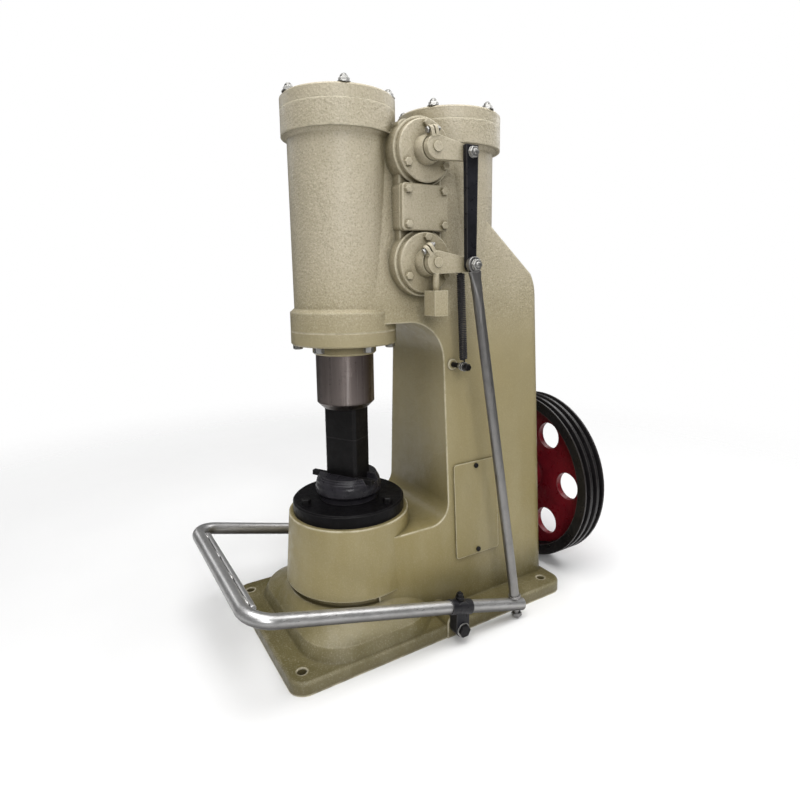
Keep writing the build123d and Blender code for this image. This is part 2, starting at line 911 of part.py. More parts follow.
def bearing_bolts():
    start = column_back + bearing_boss_length + bearing_housing_thickness - wheel_front
    head = hexagon_head(valve_bolt_width, valve_bolt_head)
    spots = ring_points(bearing_bolt_count, bearing_bolt_circle, 30)
    return Compound([wheel_place() * Pos(x, y, start) * head for x, y in spots])


def spring_pin_place():
    """Where the spring's pin stands on the lower lever, as (y, z)."""
    share = spring_pin_reach / lever_reach
    return valve_line + spring_pin_reach, lower_valve_height - share * lever_drop


def spring_pin():
    y, z = spring_pin_place()
    end = spring_plane - spring_radius
    return side_disc(y, z, spring_pin_radius, end, lever_face)


def spring_ends():
    top = Vector(spring_plane, *spring_pin_place())
    foot = Vector(spring_plane, spring_anchor_line, spring_anchor_height)
    return top, foot


def return_spring():
    top, foot = spring_ends()
    along = (top - foot).normalized()
    low_gap = spring_bolt_radius + spring_hook_gap
    high_gap = spring_pin_radius + spring_hook_gap
    axis = Plane(origin=foot + along * low_gap, z_dir=along)
    return extrude(axis * Circle(spring_radius), (top - foot).length - low_gap - high_gap)


def spring_anchor_bolt():
    end = spring_plane + spring_radius
    shank = side_disc(spring_anchor_line, spring_anchor_height, spring_bolt_radius, spring_boss_face, end)
    place = side_plane(end).location * Pos(spring_anchor_line, spring_anchor_height)
    return shank + place * hexagon_head(valve_bolt_width, valve_bolt_head)


nodes = {
    "frame_casting": frame_casting(),
    "working_cylinder_cover": top_cover(),
    "compressor_cylinder_cover": Pos(0, cylinder_pitch, 0) * top_cover(),
    "working_cover_nuts": acorn_ring(-90),
    "compressor_cover_nuts": Pos(0, cylinder_pitch, 0) * acorn_ring(90),
    "lower_cylinder_cover": lower_cover(),
    "lower_cover_bolts": lower_cover_bolts(),
    "rod_gland": gland(),
    "ram_rod": ram_rod(),
    "upper_die": upper_die(),
    "lower_die": lower_die(),
    "lower_die_key": lower_die_key(),
    "anvil_cap": anvil_cap(),
    "anvil_flange": anvil_flange(),
    "anvil_flange_bolts": anvil_flange_bolts(),
    "upper_valve_cover": valve_cover(upper_valve_height),
    "upper_valve_bolts": valve_bolts(upper_valve_height),
    "lower_valve_cover": valve_cover(lower_valve_height),
    "lower_valve_bolts": valve_bolts(lower_valve_height),
    "port_plate": port_plate(),
    "port_plate_bolts": port_plate_bolts(),
    "upper_valve_shaft": valve_shaft(upper_valve_height),
    "lower_valve_shaft": valve_shaft(lower_valve_height),
    "upper_valve_lever": upper_lever_plate + lever_pin(upper_valve_height, rod_eye_face),
    "lower_valve_lever": lower_lever_plate + lever_pin(lower_valve_height, pin_head_face) + spring_pin(),
    "index_block": index_block(),
    "link_bar": link_bar(),
    "pull_rod": pull_rod(),
    "treadle_hoop": treadle_hoop(),
    "tread_bar": tread_bar(),
    "treadle_clamp_right": treadle_clamp(1),
    "treadle_clamp_left": treadle_clamp(-1),
    "pivot_stud_right": pivot_stud(1),
    "pivot_stud_left": pivot_stud(-1),
    "return_spring": return_spring(),
    "spring_anchor_bolt": spring_anchor_bolt(),
    "access_panel": access_panel(),
    "access_panel_screws": access_panel_screws(),
    "flywheel": flywheel(),
    "crankshaft_end": crankshaft_end(),
    "bearing_housing": bearing_housing(),
    "bearing_housing_bolts": bearing_bolts(),
}

for name, shape in nodes.items():
    export_step(shape, "parts/" + name + ".step")
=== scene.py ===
import json
import math

import bpy
from mathutils import Matrix, Vector


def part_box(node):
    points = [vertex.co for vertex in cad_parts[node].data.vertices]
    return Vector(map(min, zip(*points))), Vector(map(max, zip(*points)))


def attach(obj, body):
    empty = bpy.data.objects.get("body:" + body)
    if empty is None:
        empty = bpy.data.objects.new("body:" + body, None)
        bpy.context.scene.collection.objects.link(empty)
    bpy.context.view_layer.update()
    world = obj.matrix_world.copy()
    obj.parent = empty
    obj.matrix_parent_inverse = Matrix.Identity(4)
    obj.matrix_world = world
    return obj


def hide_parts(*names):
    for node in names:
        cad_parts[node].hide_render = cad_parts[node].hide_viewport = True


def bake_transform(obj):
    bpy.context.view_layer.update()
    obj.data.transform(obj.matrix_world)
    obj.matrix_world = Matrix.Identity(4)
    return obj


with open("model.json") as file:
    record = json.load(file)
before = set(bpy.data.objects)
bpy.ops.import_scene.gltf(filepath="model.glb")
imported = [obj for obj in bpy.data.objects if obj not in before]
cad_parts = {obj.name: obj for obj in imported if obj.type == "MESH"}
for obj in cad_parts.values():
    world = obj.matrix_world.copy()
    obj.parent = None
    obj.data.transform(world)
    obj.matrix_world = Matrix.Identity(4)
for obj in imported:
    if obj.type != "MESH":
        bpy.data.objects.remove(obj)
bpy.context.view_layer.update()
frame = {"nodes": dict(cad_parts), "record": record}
nodes = frame["nodes"]


# Shader helpers


class Tree:
    """A material's node tree, built with short calls."""

    def __init__(self, name):
        self.material = bpy.data.materials.new(name)
        self.material.use_nodes = True
        self.nodes = self.material.node_tree.nodes
        self.links = self.material.node_tree.links
        self.surface = self.nodes["Principled BSDF"]
        self.place = self.add("ShaderNodeTexCoord").outputs["Object"]

    def add(self, kind, **settings):
        node = self.nodes.new(kind)
        for key, value in settings.items():
            setattr(node, key, value)
        return node

    def put(self, socket, value):
        if isinstance(value, bpy.types.NodeSocket):
            self.links.new(value, socket)
        else:
            socket.default_value = value

    def math(self, operation, first, second=0.5, third=0.5):
        node = self.add("ShaderNodeMath", operation=operation)
        self.put(node.inputs[0], first)
        self.put(node.inputs[1], second)
        self.put(node.inputs[2], third)
        return node.outputs[0]

    def noise(self, scale, detail=4.0, roughness=0.55, where=None):
        node = self.add("ShaderNodeTexNoise")
        self.put(node.inputs["Vector"], where or self.place)
        node.inputs["Scale"].default_value = scale
        node.inputs["Detail"].default_value = detail
        node.inputs["Roughness"].default_value = roughness
        return node.outputs[0]

    def ramp(self, value, low, high, start=0.0, end=1.0):
        """start where value is low, end where it is high, and smooth between."""
        node = self.add("ShaderNodeMapRange", interpolation_type="SMOOTHSTEP")
        self.put(node.inputs["Value"], value)
        node.inputs["From Min"].default_value = low
        node.inputs["From Max"].default_value = high
        node.inputs["To Min"].default_value = start
        node.inputs["To Max"].default_value = end
        return node.outputs[0]

    def mix(self, share, first, second):
        node = self.add("ShaderNodeMix", data_type="RGBA")
        self.put(node.inputs["Factor"], share)
        self.put(node.inputs["A"], first)
        self.put(node.inputs["B"], second)
        return node.outputs["Result"]

    def over(self, tone, colour, share, strength=None):
        """tone with colour laid over it, by share times strength."""
        if strength is not None:
            share = self.math("MULTIPLY", share, strength)
        return self.mix(share, tone, colour)

    def part_of(self, vector, letter):
        node = self.add("ShaderNodeSeparateXYZ")
        self.put(node.inputs[0], vector)
        return node.outputs[letter]

    def facing(self, letter):
        """How far the surface faces along an axis of its own body, from -1 to 1."""
        return self.part_of(self.add("ShaderNodeTexCoord").outputs["Normal"], letter)

    def stretched(self, x, y, z):
        node = self.add("ShaderNodeMapping")
        self.put(node.inputs["Vector"], self.place)
        node.inputs["Scale"].default_value = (x, y, z)
        return node.outputs[0]

    def radius(self, centre, keep):
        """Distance from the line through centre along the axis whose keep value is 0."""
        shifted = self.add("ShaderNodeVectorMath", operation="SUBTRACT")
        self.put(shifted.inputs[0], self.place)
        self.put(shifted.inputs[1], centre)
        flat = self.add("ShaderNodeVectorMath", operation="MULTIPLY")
        self.put(flat.inputs[0], shifted.outputs[0])
        self.put(flat.inputs[1], keep)
        length = self.add("ShaderNodeVectorMath", operation="LENGTH")
        self.put(length.inputs[0], flat.outputs[0])
        return length.outputs["Value"]

    def outer_edges(self, reach):
        """1 along sharp outer edges, 0 on flat faces."""
        node = self.add("ShaderNodeAmbientOcclusion", samples=6, inside=True)
        node.inputs["Distance"].default_value = reach
        return self.ramp(node.outputs["AO"], 0.93, 0.62)

    def corners(self, reach):
        """1 deep in inner corners and gaps, 0 in the open."""
        node = self.add("ShaderNodeAmbientOcclusion", samples=6)
        node.inputs["Distance"].default_value = reach
        return self.ramp(node.outputs["AO"], 0.9, 0.35)

    def rounded(self, radius):
        """Surface direction with the edges softened, as thick paint leaves them."""
        node = self.add("ShaderNodeBevel", samples=6)
        node.inputs["Radius"].default_value = radius
        return node.outputs[0]

    def bump(self, height, distance, strength, over):
        node = self.add("ShaderNodeBump")
        node.inputs["Strength"].default_value = strength
        node.inputs["Distance"].default_value = distance
        self.put(node.inputs["Height"], height)
        self.put(node.inputs["Normal"], over)
        return node.outputs[0]

    def set(self, **values):
        """Fixed shader values, such as Coat_Weight=0.2."""
        for key, value in values.items():
            self.surface.inputs[key.replace("_", " ")].default_value = value

    def finish(self, colour, roughness, metallic=0.0, normal=None):
        self.put(self.surface.inputs["Base Color"], colour)
        self.put(self.surface.inputs["Roughness"], roughness)
        self.put(self.surface.inputs["Metallic"], metallic)
        if normal is not None:
            self.put(self.surface.inputs["Normal"], normal)
        return self.material


def grey(level):
    return (level, level, level, 1.0)


def shade(colour, share):
    return tuple(c * share for c in colour[:3]) + (1.0,)


# Materials


def machine_paint(name, softness, roughness_of_skin, lip):
    """Olive beige enamel, paler towards the top, over rough sand-cast iron."""
    base_olive = (0.092, 0.076, 0.021, 1)
    low_olive = (0.268, 0.215, 0.078, 1)
    middle_beige = (0.345, 0.289, 0.155, 1)
    top_beige = (0.520, 0.462, 0.345, 1)
    patch = (0.27, 0.235, 0.135, 1)
    streak = (0.46, 0.41, 0.27, 1)
    light_grain = (0.66, 0.60, 0.46, 1)
    dark_grain = (0.15, 0.13, 0.07, 1)
    painted_hollow_shade = (0.120, 0.096, 0.036, 1)
    painted_corner_shade = (0.085, 0.070, 0.030, 1)
    pit = (0.07, 0.06, 0.03, 1)
    worn_and_highlit_lip = (0.68, 0.62, 0.46, 1)

    t = Tree(name)
    up = t.part_of(t.place, "Z")
    tone = t.mix(t.ramp(up, 0.03, 0.60), low_olive, middle_beige)
    tone = t.over(tone, top_beige, t.ramp(up, 0.50, 0.82))
    # Darker towards the foot of the base plate.
    tone = t.over(tone, base_olive, t.ramp(up, 0.125, 0.025))
    tone = t.over(tone, patch, t.ramp(t.noise(6.0, 3.0), 0.35, 0.7), 0.30)
    runs = t.noise(9.0, 4.0, 0.6, t.stretched(1.0, 1.0, 0.25))
    tone = t.over(tone, streak, t.ramp(runs, 0.45, 0.7), 0.20)

    # The skin is roughest on the cylinders and a little rough on the base plate.
    rough_top = t.ramp(up, 0.56, 0.66)
    rough_foot = t.ramp(up, 0.075, 0.03, 0.0, 0.35)
    rough = t.math("ADD", t.math("MAXIMUM", rough_top, rough_foot), 0.22)
    rough = t.math("MULTIPLY", rough, roughness_of_skin)
    grains = t.noise(330.0, 2.0, 0.5)
    light = t.math("MULTIPLY", t.ramp(grains, 0.54, 0.66), t.math("MULTIPLY", rough, 0.26))
    tone = t.over(tone, light_grain, light)
    dark = t.math("MULTIPLY", t.ramp(grains, 0.45, 0.34), t.math("MULTIPLY", rough, 0.24))
    tone = t.over(tone, dark_grain, dark)

    # Painted shade: the enamel darkens broadly in hollows and under overhangs.
    tone = t.over(tone, painted_hollow_shade, t.corners(0.15), 0.66)
    # Painted shade deep in inner corners and gaps.
    tone = t.over(tone, painted_corner_shade, t.corners(0.022), 0.60)
    tone = t.over(tone, pit, t.ramp(t.noise(130.0, 5.0, 0.8), 0.34, 0.27), 0.40)
    # Lighter lips on the outer edges, varied at random: partly worn paint, partly painted
    # highlight.
    wear_and_highlight = t.ramp(t.noise(40.0, 3.0), 0.3, 0.6, 0.25, 0.85)
    tone = t.over(tone, worn_and_highlit_lip, t.outer_edges(lip), wear_and_highlight)

    shine = t.ramp(t.noise(60.0, 4.0), 0.3, 0.7, 0.36, 0.54)
    lumps = t.bump(t.noise(30.0, 4.0, 0.6), 0.0030, 0.5, t.rounded(softness))
    wrinkles = t.math("MULTIPLY", t.noise(190.0, 3.0, 0.6), rough)
    skin = t.bump(wrinkles, 0.0022, 0.85, lumps)
    t.set(Specular_IOR_Level=0.42, Coat_Weight=0.12, Coat_Roughness=0.25)
    return t.finish(tone, shine, 0.0, skin)


def steel(name, base, rough, brush, metallic=1.0, streak=0.35, shade_below=0.0):
    """Bare machined or drawn steel with fine tool lines and oily patches."""
    crevice_shade = (0.03, 0.026, 0.02, 1)
    underside_shade = (0.040, 0.037, 0.033, 1)

    t = Tree(name)
    lines = t.noise(150.0, 4.0, 0.6, t.stretched(*brush))
    stains = t.ramp(t.noise(16.0, 5.0, 0.65), 0.42, 0.72)
    tone = t.over(base, shade(base, 0.55), stains, 0.55)
    tone = t.over(tone, shade(base, 1.7), t.ramp(lines, 0.45, 0.75), streak)
    # Painted shade in small inner corners.
    tone = t.over(tone, crevice_shade, t.corners(0.006), 0.6)
    # Painted shade: the faces that look down are darker, by the share given.
    if shade_below:
        tone = t.over(tone, underside_shade, t.ramp(t.facing("Z"), 0.60, -0.55, 0.0, shade_below))
    # Lighter outer edges: partly rubbed bright, partly painted highlight.
    tone = t.over(tone, shade(base, 2.0), t.outer_edges(0.0015), 0.5)
    shine = t.ramp(lines, 0.3, 0.7, rough, rough + 0.18)
    skin = t.bump(lines, 0.0004, 0.5, t.rounded(0.0008))
    return t.finish(tone, shine, metallic, skin)


def ram_steel():
    """Ground ram, brown with old oil, and rubbed bright in long vertical streaks."""
    oiled = (0.150, 0.121, 0.112, 1)
    clean = (0.245, 0.208, 0.194, 1)
    rubbed = (0.42, 0.385, 0.37, 1)
    burnt_end = (0.03, 0.026, 0.025, 1)

    t = Tree("ram_steel")
    fine = t.noise(60.0, 3.0, 0.6, t.stretched(3.0, 3.0, 0.06))
    broad = t.noise(11.0, 2.0, 0.5, t.stretched(2.2, 2.2, 0.10))
    tone = t.mix(t.ramp(broad, 0.40, 0.62), oiled, clean)
    tone = t.over(tone, rubbed, t.ramp(fine, 0.56, 0.74), 0.55)
    tone = t.over(tone, burnt_end, t.ramp(t.part_of(t.place, "Z"), 0.466, 0.456), 0.75)
    scratches = t.ramp(t.noise(240.0, 2.0, 0.5, t.stretched(0.3, 0.3, 6.0)), 0.3, 0.7)
    shine = t.math("ADD", t.math("MULTIPLY", scratches, 0.12), t.ramp(fine, 0.3, 0.7, 0.24, 0.36))
    return t.finish(tone, shine, 1.0, t.bump(scratches, 0.0002, 0.4, t.rounded(0.001)))


def black_finish(name, base, rough, turned=False, gloss=0.20, wear_and_highlight=0.38):
    """Dark oxide or black paint, lighter on its outer edges: partly wear, partly painted highlight.
    Turned faces have fine rings.
    """
    dust = (0.06, 0.055, 0.045, 1)
    worn_and_highlit_edge = (0.11, 0.105, 0.105, 1)
    ring_waves = 2600.0  # radians a metre

    t = Tree(name)
    blotches = t.ramp(t.noise(26.0, 5.0, 0.6), 0.38, 0.7)
    tone = t.over(base, shade(base, 2.6), blotches, 0.6)
    tone = t.over(tone, dust, t.ramp(t.noise(120.0, 4.0, 0.7), 0.60, 0.75), 0.10)
    # Lighter outer edges: partly wear, partly painted highlight.
    tone = t.over(tone, worn_and_highlit_edge, t.outer_edges(0.0022), wear_and_highlight)
    shine = t.ramp(t.noise(80.0, 4.0), 0.3, 0.7, rough, rough + 0.2)
    skin = t.bump(t.noise(170.0, 4.0), 0.0010, 0.55, t.rounded(0.0012))
    if turned:
        out = t.radius((0.0, 0.0, 0.0), (1, 1, 0))
        rings = t.math("SINE", t.math("MULTIPLY", out, ring_waves))
        skin = t.bump(rings, 0.00035, 0.55, skin)
    t.set(Specular_IOR_Level=gloss)
    return t.finish(tone, shine, 0.0, skin)


def wheel_enamel():
    """Dark red enamel on the web, a black turned rim and a bare hub."""
    wheel_centre = (0.0, 0.0, 0.210)
    rim_radius = 0.1755
    hub_radius = 0.0315
    dark_red, light_red = (0.120, 0.0055, 0.0110, 1), (0.195, 0.0100, 0.0170, 1)
    dark_black, light_black = (0.006, 0.0055, 0.006, 1), (0.014, 0.013, 0.014, 1)
    bare = (0.20, 0.19, 0.18, 1)

    t = Tree("wheel_enamel")
    out = t.radius(wheel_centre, (1, 0, 1))
    blotches = t.ramp(t.noise(14.0, 4.0, 0.6), 0.3, 0.7)
    red = t.mix(blotches, dark_red, light_red)
    black = t.mix(blotches, dark_black, light_black)
    brush_line = t.math("ADD", out, t.ramp(t.noise(30.0, 3.0), 0.3, 0.7, -0.0012, 0.0012))
    tone = t.mix(t.ramp(brush_line, rim_radius, rim_radius + 0.0020), red, black)
    tone = t.over(tone, bare, t.ramp(brush_line, hub_radius, hub_radius - 0.0015))
    # Painted shade in the wheel's inner corners.
    tone = t.over(tone, (0.004, 0.003, 0.003, 1), t.corners(0.02), 0.5)
    # Lighter outer edges: partly wear, partly painted highlight.
    tone = t.over(tone, (0.22, 0.19, 0.18, 1), t.outer_edges(0.002), 0.25)
    shine = t.ramp(t.noise(70.0, 4.0), 0.3, 0.7, 0.26, 0.42)
    skin = t.bump(t.noise(110.0, 4.0), 0.0014, 0.6, t.rounded(0.0015))
    t.set(Specular_IOR_Level=0.30)
    return t.finish(tone, shine, 0.0, skin)


cast = machine_paint("cast_enamel", 0.005, 1.0, 0.0045)
cover = machine_paint("cover_enamel", 0.0016, 0.75, 0.0016)
ram = ram_steel()
ground = steel("ground_bar", (0.34, 0.325, 0.31, 1), 0.24, (1, 1, 12))
drawn = steel("drawn_bar", (0.56, 0.555, 0.55, 1), 0.27, (5, 0.4, 5), 0.85, 0.18, 0.92)
rod_steel = steel("rod_steel", (0.25, 0.243, 0.236, 1), 0.30, (5, 5, 0.15), 0.9, 0.18)
plated = steel("plated_fastener", (0.34, 0.335, 0.32, 1), 0.34, (4, 4, 4))
spring = black_finish("spring_black", (0.010, 0.009, 0.010, 1), 0.28)
oxide = black_finish("black_oxide", (0.0042, 0.0038, 0.0040, 1), 0.38, gloss=0.18, wear_and_highlight=0.12)
turned = black_finish("turned_black", (0.0030, 0.0028, 0.0032, 1), 0.28, turned=True, gloss=0.09)
cap = black_finish("turned_cap", (0.0150, 0.0140, 0.0170, 1), 0.24, turned=True, gloss=0.30)
enamel = black_finish("black_enamel", (0.009, 0.009, 0.011, 1), 0.26)
wheel = wheel_enamel()

by_slot = {
    "cast_paint": cast,
    "cover_paint": cover,
    "plated_steel": plated,
    "ground_steel": ground,
    "drawn_steel": drawn,
    "black_steel": oxide,
    "black_paint": enamel,
    "spring_steel": spring,
    "wheel_paint": wheel,
}
by_node = {
    "ram_rod": ram,
    "pull_rod": rod_steel,
    "anvil_cap": cap,
    "anvil_flange": turned,
    "upper_valve_shaft": cover,
    "lower_valve_shaft": cover,
    "access_panel_screws": oxide,
}
slot_of = {row["node"]: row["material_slot"] for row in frame["record"]["subparts"]}


def set_material(obj, material):
    obj.data.materials.clear()
    obj.data.materials.append(material)


for name, obj in nodes.items():
    set_material(obj, by_node.get(name, by_slot[slot_of[name]]))


# Meshes of the small pieces

x_axis = Vector((1, 0, 0))
z_axis = Vector((0, 0, 1))


def new_piece(name, verts, faces, body, slot_name, material, crease=35):
    mesh = bpy.data.meshes.new(name)
    mesh.from_pydata([tuple(v) for v in verts], [], faces)
    mesh.validate()
    mesh.update()
    mesh.shade_smooth()
    mesh.set_sharp_from_angle(angle=math.radians(crease))
    piece = bpy.data.objects.new(name, mesh)
    bpy.context.collection.objects.link(piece)
    set_material(piece, material)
    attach(piece, body)
    return piece


def soften(piece, width):
    bevel = piece.modifiers.new("soften", "BEVEL")
    bevel.width = width
    bevel.segments = 2
    bevel.limit_method = "ANGLE"
    bevel.angle_limit = math.radians(40)


def frame_at(origin, direction):
    """Matrix that puts local Z along direction at origin."""
    turn = Vector(direction).to_track_quat("Z", "Y").to_matrix().to_4x4()
    return Matrix.Translation(Vector(origin)) @ turn


def ring_faces(rings, steps, closed=False):
    """Faces between rings of points. Both ends have a cap, unless the last ring joins the first."""
    faces = []
    for ring in range(rings if closed else rings - 1):
        low, high = ring * steps, (ring + 1) % rings * steps
        for i in range(steps):
            j = (i + 1) % steps
            faces.append((low + i, low + j, high + j, high + i))
    if not closed:
        last = (rings - 1) * steps
        faces.append(tuple(reversed(range(steps))))
        faces.append(tuple(range(last, last + steps)))
    return faces


def lathed(place, profile, steps=48, sides=None, closed=False):
    """Rings of (radius, height) about local Z, or polygons where sides is given."""
    verts = []
    for radius, height in profile:
        for i in range(steps):
            angle = 2 * math.pi * i / steps
            reach = radius
            if sides:
                part = math.pi / sides
                reach = radius * math.cos(part) / math.cos((angle % (2 * part)) - part)
            spot = Vector((reach * math.cos(angle), reach * math.sin(angle), height))
            verts.append(place @ spot)
    return verts, ring_faces(len(profile), steps, closed)


def join(*parts):
    verts, faces = [], []
    for some_verts, some_faces in parts:
        shift = len(verts)
        verts += list(some_verts)
        faces += [tuple(i + shift for i in face) for face in some_faces]
    return verts, faces


def washer(inner, outer, low, high, across, along):
    """Profile of a washer whose rim is chamfered by across and along."""
    rim = outer - across
    wall = [(outer, low + along), (outer, high - along)]
    return [(inner, low), (rim, low), *wall, (rim, high), (inner, high)]


def hexagon(place, across, height, low=0.0):
    """Hexagon of a bolt head or nut, with its outer rim turned down."""
    corner = across / math.sqrt(3)
    rim = height * 0.22
    profile = [
        (corner * 0.96, low),
        (corner, low + rim * 0.3),
        (corner, low + height - rim),
        (corner * 0.86, low + height),
    ]
    return lathed(place, profile, 48, 6)


def thread(place, radius, low, high, pitch=0.00125):
    """Stud end with a fine ridged thread and a chamfered tip."""
    root = radius * 0.88
    count = int((high - low) / pitch)
    profile = []
    for i in range(count):
        height = low + i * pitch
        profile += [(root, height), (radius, height + pitch * 0.5)]
    profile += [(root, low + count * pitch), (radius * 0.70, high + radius * 0.15)]
    return lathed(place, profile, 24)


def tube(points, radii, sides):
    """Round tube through points; radii is one number or one for each point."""
    count = len(points)
    if not isinstance(radii, list):
        radii = [radii] * count
    points = [Vector(p) for p in points]
    tangents = []
    for i in range(count):
        ahead = points[min(i + 1, count - 1)]
        behind = points[max(i - 1, 0)]
        tangents.append((ahead - behind).normalized())
    normal = tangents[0].orthogonal().normalized()
    verts = []
    for i in range(count):
        normal = (normal - tangents[i] * normal.dot(tangents[i])).normalized()
        side = tangents[i].cross(normal)
        for k in range(sides):
            angle = 2 * math.pi * k / sides
            reach = normal * math.cos(angle) + side * math.sin(angle)
            verts.append(points[i] + reach * radii[i])
    return verts, ring_faces(count, sides)


def slab(outline, thickness, place):
    """Outline of (x, y) points, extruded from local Z = 0."""
    verts = [place @ Vector((x, y, 0)) for x, y in outline]
    verts += [place @ Vector((x, y, thickness)) for x, y in outline]
    return verts, ring_faces(2, len(outline))


# Return spring: close coils between two open hooks

spring_foot = Vector((0, 0.190, 0.529))
spring_top = Vector((0, 0.181, 0.72514))


def return_spring():
    low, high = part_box("return_spring")
    plane = Vector(((low[0] + high[0]) / 2, 0, 0))
    foot, top = spring_foot + plane, spring_top + plane
    along = (top - foot).normalized()
    across = along.cross(x_axis).normalized()
    length = (top - foot).length
    wire = 0.0016
    coil = 0.0067
    low_hook, high_hook = 0.0068, 0.0056
    start, end = 0.013, length - 0.014
    turns = 48
    turn_steps = 14
    taper_steps = 10

    def hook(centre, radius, sign, first, last):
        spots = []
        for i in range(19):
            angle = math.radians(first + (last - first) * i / 18)
            spot = centre + across * (radius * math.sin(angle))
            spots.append(spot + along * (sign * radius * math.cos(angle)))
        return spots

    path = hook(foot, low_hook, 1, 320, 20)
    path.append(foot + along * (start * 0.62) + across * 0.0022)
    steps = turns * turn_steps
    for i in range(steps + 1):
        angle = 2 * math.pi * i / turn_steps
        grow = min(1.0, i / taper_steps, (steps - i) / taper_steps)
        reach = coil * (0.25 + 0.75 * grow)
        spot = foot + along * (start + (end - start) * i / steps)
        path.append(spot + (across * math.cos(angle) + x_axis * math.sin(angle)) * reach)
    path.append(foot + along * (length - (length - end) * 0.62) + across * 0.0020)
    path += hook(top, high_hook, -1, -20, -320)
    coils = tube(path, wire, 8)
    piece = new_piece("return_spring_coils", *coils, "root", "spring_steel", spring, 80)
    piece.parent = None
    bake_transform(piece)
    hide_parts("return_spring")


def spring_anchor_washers():
    """Two washers on the anchor bolt, with the hook between them, and a nut behind."""
    profile = washer(0.0052, 0.0092, 0.0, 0.0016, 0.0004, 0.0003)
    parts = join(
        lathed(frame_at(spring_foot + x_axis * 0.1425, x_axis), profile),
        lathed(frame_at(spring_foot + x_axis * 0.1369, x_axis), profile),
        hexagon(frame_at(spring_foot + x_axis * 0.1290, x_axis), 0.013, 0.0065),
    )
    new_piece("spring_anchor_washers", *parts, "root", "plated_steel", plated)


return_spring()
spring_anchor_washers()


# Levers: split clamp ears with their bolts, and the ends of the link pins


def clamp_ears(name, height, turn, body):
    """Two rounded ears over the lever's hub, with a slot between them and a bolt across."""
    hub = Matrix.Translation(Vector((0.1478, 0.114, height))) @ Matrix.Rotation(turn, 4, "X")
    half_width = 0.0085
    thickness = 0.0068
    half_slot = 0.0012
    forward = 0.0072
    foot = 0.0172
    round_height = 0.012
    bolt_height = 0.0125
    bolt_reach = 0.0080

    outline = [(-half_width, 0.0)]
    for i in range(13):
        angle = math.pi * (1 - i / 12)
        rise = round_height + half_width * math.sin(angle)
        outline.append((half_width * math.cos(angle), rise))
    outline.append((half_width, 0.0))
    upright = Matrix(((1, 0, 0, 0), (0, 0, 1, 0), (0, 1, 0, 0), (0, 0, 0, 1)))
    ears = []
    for near_face in (-half_slot - thickness, half_slot):
        place = hub @ Matrix.Translation(Vector((forward, near_face, foot))) @ upright
        ears.append(slab(outline, thickness, place))
    soften(new_piece(name + "_ears", *join(*ears), body, "cover_paint", cover), 0.0009)

    spot = hub @ Vector((forward, 0, foot + bolt_height))
    way = hub.to_3x3() @ Vector((0, 1, 0))
    nut = frame_at(spot + way * bolt_reach, way)
    bolt = join(
        hexagon(frame_at(spot - way * bolt_reach, -way), 0.010, 0.0050),
        hexagon(nut, 0.010, 0.0052),
        thread(nut, 0.0029, 0.0052, 0.0090),
    )
    new_piece(name + "_bolt", *bolt, body, "plated_steel", plated)


def pin_end(name, body, face, height):
    """Washer and domed nut on the end of a link pin."""
    place = frame_at((face, 0.183, height), x_axis)
    dome = [(0.0052, 0.0060), (0.0052, 0.0085), (0.0044, 0.0096), (0.0028, 0.0102)]
    parts = join(
        lathed(place, washer(0.0045, 0.0106, 0.0, 0.0015, 0.0004, 0.0003)),
        hexagon(place, 0.0184, 0.0058, 0.0013),
        lathed(place, dome + [(0.0008, 0.0104)], 24),
    )
    new_piece(name, *parts, body, "plated_steel", plated)


clamp_ears("upper_clamp", 0.930, math.radians(12), "upper_lever")
clamp_ears("lower_clamp", 0.730, math.radians(34), "lower_lever")
pin_end("upper_pin_end", "upper_lever", 0.1741, 0.925)
pin_end("lower_pin_end", "lower_lever", 0.1851, 0.725)


# Treadle: set screws on the sleeves, pivot washers and weld beads

pivot_line = 0.134
pivot_height = 0.028
clamp_side = 0.204


def treadle_fittings():
    collar = [(0.0085, -0.003), (0.0085, 0.0015), (0.0075, 0.0028), (0.0040, 0.0030)]
    for side, name in ((1, "right"), (-1, "left")):
        low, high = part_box("treadle_clamp_" + name)
        crown = (side * clamp_side, pivot_line, high[2] - 0.0012)
        place = frame_at(crown, z_axis)
        parts = join(
            lathed(place, collar),
            hexagon(place, 0.012, 0.0065, 0.0028),
            thread(place, 0.0034, 0.0093, 0.0118),
        )
        new_piece("clamp_screw_" + name, *parts, "treadle", "black_steel", oxide)
        spot = frame_at((side * 0.2155, pivot_line, pivot_height), x_axis * side)
        ring = lathed(spot, washer(0.0070, 0.0137, 0.0, 0.0019, 0.0005, 0.0004))
        new_piece("pivot_washer_" + name, *ring, "root", "plated_steel", plated)


treadle_fittings()


def weld_bead(name, start, end, size, body):
    """Row of overlapping weld ripples from start to end."""
    ripple = 0.0011
    count = max(8, int((end - start).length / ripple))
    points, radii = [], []
    for i in range(count + 1):
        share = i / count
        wobble = 0.10 * math.sin(i * 2.3) + 0.07 * math.sin(i * 5.1)
        ends = min(1.0, share * 9, (1 - share) * 9)
        swell = 1.0 + 0.16 * math.sin(i * math.pi / 1.5) + wobble
        points.append(start.lerp(end, share))
        radii.append(size * (0.45 + 0.55 * ends) * swell)
    new_piece(name, *tube(points, radii, 12), body, "drawn_steel", drawn, 60)


# Treadle: the bent bar with its slotted end, and the second bar welded inside its front

bar_radius = 0.0125
second_radius = 0.0065
bend_radius = 0.046
rear_end = Vector((0.2084, 0.2932, 0.0252))
right_clamp = Vector((clamp_side, pivot_line, 0.070))
right_corner = Vector((0.193, -0.2675, 0.1725))
left_corner = Vector((-0.193, -0.2732, 0.1800))
left_clamp = Vector((-clamp_side, pivot_line, 0.070))
left_end = Vector((-0.2050, 0.165, 0.0612))
rod_foot = Vector((0.20791, 0.276, 0.02997))
rod_top = Vector((0.179, 0.183, 0.725))


